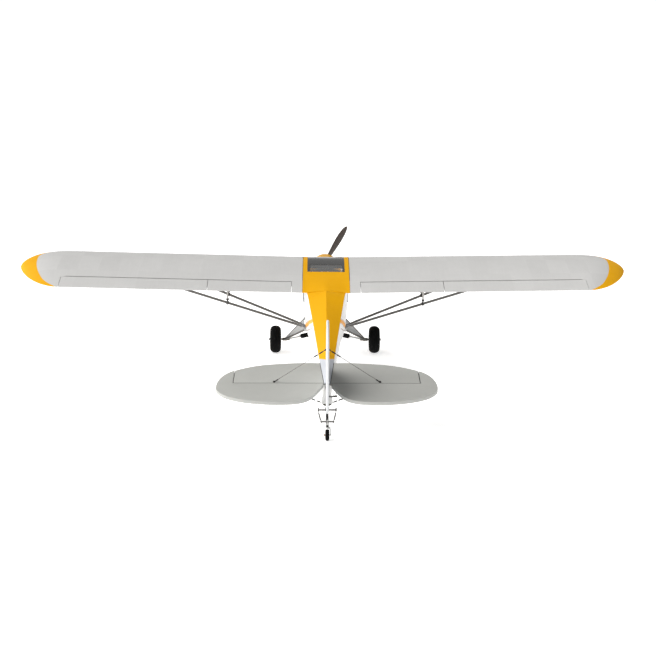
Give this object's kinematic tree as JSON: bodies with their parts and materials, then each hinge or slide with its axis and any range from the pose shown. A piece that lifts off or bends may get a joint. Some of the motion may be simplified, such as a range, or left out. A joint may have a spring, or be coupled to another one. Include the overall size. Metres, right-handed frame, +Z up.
{
  "type": "rc foam airplane",
  "caption": "High-wing strut-braced radio-controlled foam model airplane with tailwheel gear, hinged control surfaces, spinning propeller and sprung undercarriage.",
  "frame": {"origin": "on the ground plane under the middle of the overall length and span, standing on its three wheels", "axes": "+X towards the right wing tip, +Y towards the nose, +Z up"},
  "size_m": [2.15, 1.3378, 0.4382],
  "materials": {
    "wing_silver": "satin",
    "trim_yellow": "satin",
    "fuselage_white": "satin",
    "tail_silver": "satin",
    "cowl_white": "gloss",
    "smoked_glazing": "gloss",
    "clear_glazing": "gloss",
    "dark_panel": "matte",
    "strut_grey": "satin",
    "steel": "satin",
    "wire_dark": "satin",
    "motor_alloy": "satin",
    "plywood": "matte",
    "prop_brown": "satin",
    "carbon": "satin",
    "battery_wrap": "gloss",
    "electronics": "matte",
    "horn_tan": "matte",
    "tyre_black": "matte",
    "hub_grey": "satin",
    "bungee_black": "matte"
  },
  "bodies": {
    "airframe": {"fuselage_left": "fuselage_white", "fuselage_right": "fuselage_white", "cowl": "cowl_white", "motor_mount": "plywood", "battery": "battery_wrap", "radio_gear": "electronics", "instrument_panel": "dark_panel", "windshield": "clear_glazing", "side_windows": "smoked_glazing", "wing_centre_section": "trim_yellow", "skylight": "smoked_glazing", "wing_spar_tube": "carbon", "wing_left": "wing_silver", "wing_right": "wing_silver", "wing_struts_front": "strut_grey", "wing_struts_rear": "strut_grey", "jury_struts": "strut_grey", "stabilizer": "tail_silver", "fin": "fuselage_white", "tail_brace_wires": "wire_dark", "tail_leaf_spring": "wire_dark", "gear_cabane": "steel", "servos": "electronics"},
    "battery_hatch": {"battery_hatch": "fuselage_white"},
    "propeller": {"propeller": "prop_brown", "motor_rotor": "motor_alloy"},
    "aileron_left": {"aileron_left": "wing_silver"},
    "aileron_left_servo_arm": {"aileron_servo_arm_left": "horn_tan"},
    "aileron_left_pushrod": {"aileron_pushrod_left": "steel"},
    "flap_left": {"flap_left": "wing_silver"},
    "flap_left_servo_arm": {"flap_servo_arm_left": "horn_tan"},
    "flap_left_pushrod": {"flap_pushrod_left": "steel"},
    "aileron_right": {"aileron_right": "wing_silver"},
    "aileron_right_servo_arm": {"aileron_servo_arm_right": "horn_tan"},
    "aileron_right_pushrod": {"aileron_pushrod_right": "steel"},
    "flap_right": {"flap_right": "wing_silver"},
    "flap_right_servo_arm": {"flap_servo_arm_right": "horn_tan"},
    "flap_right_pushrod": {"flap_pushrod_right": "steel"},
    "elevator": {"elevator_left": "tail_silver", "elevator_right": "tail_silver", "elevator_joiner": "steel"},
    "elevator_servo_arm": {"elevator_servo_arm": "horn_tan"},
    "elevator_pushrod": {"elevator_pushrod": "steel"},
    "rudder": {"rudder": "fuselage_white"},
    "rudder_servo_arm": {"rudder_servo_arm": "horn_tan"},
    "rudder_pushrod": {"rudder_pushrod": "steel"},
    "tail_fork": {"tail_fork": "steel"},
    "tail_wheel": {"tail_wheel": "tyre_black"},
    "steering_spring_left": {"steering_spring_left": "steel"},
    "steering_spring_right": {"steering_spring_right": "steel"},
    "gear_leg_left": {"gear_leg_left": "fuselage_white"},
    "main_wheel_left": {"wheel_hub_left": "hub_grey", "tyre_left": "tyre_black"},
    "shock_sleeve_left": {"shock_sleeve_left": "bungee_black"},
    "shock_rod_left": {"shock_rod_left": "steel"},
    "gear_leg_right": {"gear_leg_right": "fuselage_white"},
    "main_wheel_right": {"wheel_hub_right": "hub_grey", "tyre_right": "tyre_black"},
    "shock_sleeve_right": {"shock_sleeve_right": "bungee_black"},
    "shock_rod_right": {"shock_rod_right": "steel"}
  },
  "joints": [
    {"name": "hatch_lift_off", "type": "slide", "parent": "airframe", "child": "battery_hatch", "axis": [0, 0.1305, -0.9914], "range_m": [0, 0.03]},
    {"name": "propeller_spin", "type": "hinge", "parent": "airframe", "child": "propeller", "pos_m": [0, 0.64793, 0.28573], "axis": [0, 0.9914, 0.1305], "continuous": true},
    {"name": "aileron_left_hinge", "type": "hinge", "parent": "airframe", "child": "aileron_left", "pos_m": [-0.56, 0.07008, 0.33097], "axis": [0.9998, 0.0025, -0.019], "range_deg": [-25, 20]},
    {"name": "aileron_left_servo", "type": "hinge", "parent": "airframe", "child": "aileron_left_servo_arm", "pos_m": [-0.56, 0.13948, 0.34011], "axis": [0.9998, 0.0025, -0.019], "range_deg": [-25, 20]},
    {"name": "aileron_left_link", "type": "hinge", "parent": "aileron_left_servo_arm", "child": "aileron_left_pushrod", "pos_m": [-0.56, 0.14157, 0.32425], "axis": [0.9998, 0.0025, -0.019], "range_deg": [-20, 25]},
    {"name": "flap_left_hinge", "type": "hinge", "parent": "airframe", "child": "flap_left", "pos_m": [-0.262, 0.07082, 0.3253], "axis": [0.9998, 0.0025, -0.019], "range_deg": [0, 40]},
    {"name": "flap_left_servo", "type": "hinge", "parent": "airframe", "child": "flap_left_servo_arm", "pos_m": [-0.262, 0.14023, 0.33444], "axis": [0.9998, 0.0025, -0.019], "range_deg": [0, 40]},
    {"name": "flap_left_link", "type": "hinge", "parent": "flap_left_servo_arm", "child": "flap_left_pushrod", "pos_m": [-0.262, 0.14231, 0.31857], "axis": [0.9998, 0.0025, -0.019], "range_deg": [-40, 0]},
    {"name": "aileron_right_hinge", "type": "hinge", "parent": "airframe", "child": "aileron_right", "pos_m": [0.56, 0.07008, 0.33097], "axis": [0.9998, -0.0025, 0.019], "range_deg": [-25, 20]},
    {"name": "aileron_right_servo", "type": "hinge", "parent": "airframe", "child": "aileron_right_servo_arm", "pos_m": [0.56, 0.13948, 0.34011], "axis": [0.9998, -0.0025, 0.019], "range_deg": [-25, 20]},
    {"name": "aileron_right_link", "type": "hinge", "parent": "aileron_right_servo_arm", "child": "aileron_right_pushrod", "pos_m": [0.56, 0.14157, 0.32425], "axis": [0.9998, -0.0025, 0.019], "range_deg": [-20, 25]},
    {"name": "flap_right_hinge", "type": "hinge", "parent": "airframe", "child": "flap_right", "pos_m": [0.262, 0.07082, 0.3253], "axis": [0.9998, -0.0025, 0.019], "range_deg": [0, 40]},
    {"name": "flap_right_servo", "type": "hinge", "parent": "airframe", "child": "flap_right_servo_arm", "pos_m": [0.262, 0.14023, 0.33444], "axis": [0.9998, -0.0025, 0.019], "range_deg": [0, 40]},
    {"name": "flap_right_link", "type": "hinge", "parent": "flap_right_servo_arm", "child": "flap_right_pushrod", "pos_m": [0.262, 0.14231, 0.31857], "axis": [0.9998, -0.0025, 0.019], "range_deg": [-40, 0]},
    {"name": "elevator_hinge", "type": "hinge", "parent": "airframe", "child": "elevator", "pos_m": [0, -0.51814, 0.13322], "axis": [1, 0, 0], "range_deg": [-22, 22]},
    {"name": "elevator_servo", "type": "hinge", "parent": "airframe", "child": "elevator_servo_arm", "pos_m": [-0.025, -0.33211, 0.13754], "axis": [1, 0, 0], "range_deg": [-22, 22]},
    {"name": "elevator_link", "type": "hinge", "parent": "elevator_servo_arm", "child": "elevator_pushrod", "pos_m": [-0.025, -0.32977, 0.11969], "axis": [1, 0, 0], "range_deg": [-22, 22]},
    {"name": "rudder_hinge", "type": "hinge", "parent": "airframe", "child": "rudder", "pos_m": [0, -0.53121, 0.14058], "axis": [0, -0.1305, 0.9914], "range_deg": [-22, 22]},
    {"name": "rudder_servo", "type": "hinge", "parent": "airframe", "child": "rudder_servo_arm", "pos_m": [0, -0.35051, 0.12402], "axis": [0, -0.1305, 0.9914], "range_deg": [-22, 22]},
    {"name": "rudder_link", "type": "hinge", "parent": "rudder_servo_arm", "child": "rudder_pushrod", "pos_m": [0.027, -0.35051, 0.12402], "axis": [0, -0.1305, 0.9914], "range_deg": [-22, 22]},
    {"name": "tail_fork_steer", "type": "hinge", "parent": "airframe", "child": "tail_fork", "pos_m": [0, -0.63235, 0.04304], "axis": [0, 0, 1], "range_deg": [-33, 33]},
    {"name": "tail_wheel_spin", "type": "hinge", "parent": "tail_fork", "child": "tail_wheel", "pos_m": [0, -0.64468, 0.01721], "axis": [1, 0, 0], "continuous": true},
    {"name": "steering_spring_left_pivot", "type": "hinge", "parent": "rudder", "child": "steering_spring_left", "pos_m": [-0.027, -0.56174, 0.06596], "axis": [0, -0.1305, 0.9914], "range_deg": [-35, 35], "deforming": ["steering_spring_left"]},
    {"name": "steering_spring_right_pivot", "type": "hinge", "parent": "rudder", "child": "steering_spring_right", "pos_m": [0.027, -0.56174, 0.06596], "axis": [0, -0.1305, 0.9914], "range_deg": [-35, 35], "deforming": ["steering_spring_right"]},
    {"name": "gear_leg_left_pivot", "type": "hinge", "parent": "airframe", "child": "gear_leg_left", "pos_m": [-0.074, 0.35496, 0.11301], "axis": [0, 0.9961, 0.088], "range_deg": [0, 8], "stiffness_Nm_per_rad": 22, "springref_deg": -6.88},
    {"name": "main_wheel_left_spin", "type": "hinge", "parent": "gear_leg_left", "child": "main_wheel_left", "pos_m": [-0.185, 0.36202, 0.051], "axis": [1, 0, 0], "continuous": true},
    {"name": "shock_sleeve_left_pivot", "type": "hinge", "parent": "airframe", "child": "shock_sleeve_left", "pos_m": [-0.015, 0.34884, 0.08296], "axis": [0, 0.9914, 0.1305], "range_deg": [-0.5, 5.29]},
    {"name": "shock_rod_left_slide", "type": "slide", "parent": "shock_sleeve_left", "child": "shock_rod_left", "axis": [-0.9643, 0.1036, -0.2436], "range_m": [-0.0005, 0.00654]},
    {"name": "gear_leg_right_pivot", "type": "hinge", "parent": "airframe", "child": "gear_leg_right", "pos_m": [0.074, 0.35496, 0.11301], "axis": [0, -0.9961, -0.088], "range_deg": [0, 8], "stiffness_Nm_per_rad": 22, "springref_deg": -6.88},
    {"name": "main_wheel_right_spin", "type": "hinge", "parent": "gear_leg_right", "child": "main_wheel_right", "pos_m": [0.185, 0.36202, 0.051], "axis": [1, 0, 0], "continuous": true},
    {"name": "shock_sleeve_right_pivot", "type": "hinge", "parent": "airframe", "child": "shock_sleeve_right", "pos_m": [0.015, 0.34884, 0.08296], "axis": [0, -0.9914, -0.1305], "range_deg": [-0.5, 5.29]},
    {"name": "shock_rod_right_slide", "type": "slide", "parent": "shock_sleeve_right", "child": "shock_rod_right", "axis": [0.9643, 0.1036, -0.2436], "range_m": [-0.0005, 0.00654]}
  ],
  "couplings": [
    {"joint": "aileron_left_servo", "follows": "aileron_left_hinge", "ratio": 1},
    {"joint": "aileron_left_link", "follows": "aileron_left_hinge", "ratio": -1},
    {"joint": "flap_left_servo", "follows": "flap_left_hinge", "ratio": 1},
    {"joint": "flap_left_link", "follows": "flap_left_hinge", "ratio": -1},
    {"joint": "aileron_right_servo", "follows": "aileron_right_hinge", "ratio": 1},
    {"joint": "aileron_right_link", "follows": "aileron_right_hinge", "ratio": -1},
    {"joint": "flap_right_servo", "follows": "flap_right_hinge", "ratio": 1},
    {"joint": "flap_right_link", "follows": "flap_right_hinge", "ratio": -1},
    {"joint": "elevator_servo", "follows": "elevator_hinge", "ratio": 1},
    {"joint": "elevator_link", "follows": "elevator_hinge", "ratio": -1},
    {"joint": "rudder_servo", "follows": "rudder_hinge", "ratio": 1},
    {"joint": "rudder_link", "follows": "rudder_hinge", "ratio": -1},
    {"joint": "tail_fork_steer", "follows": "rudder_hinge", "ratio": 1.5},
    {"joint": "steering_spring_left_pivot", "follows": "rudder_hinge", "ratio": -1.571},
    {"joint": "steering_spring_right_pivot", "follows": "rudder_hinge", "ratio": -1.571},
    {"joint": "shock_sleeve_left_pivot", "follows": "gear_leg_left_pivot", "ratio": 0.59844},
    {"joint": "shock_rod_left_slide", "follows": "gear_leg_left_pivot", "m_per_rad": 0.041091},
    {"joint": "shock_sleeve_right_pivot", "follows": "gear_leg_right_pivot", "ratio": 0.59844},
    {"joint": "shock_rod_right_slide", "follows": "gear_leg_right_pivot", "m_per_rad": 0.041091}
  ]
}
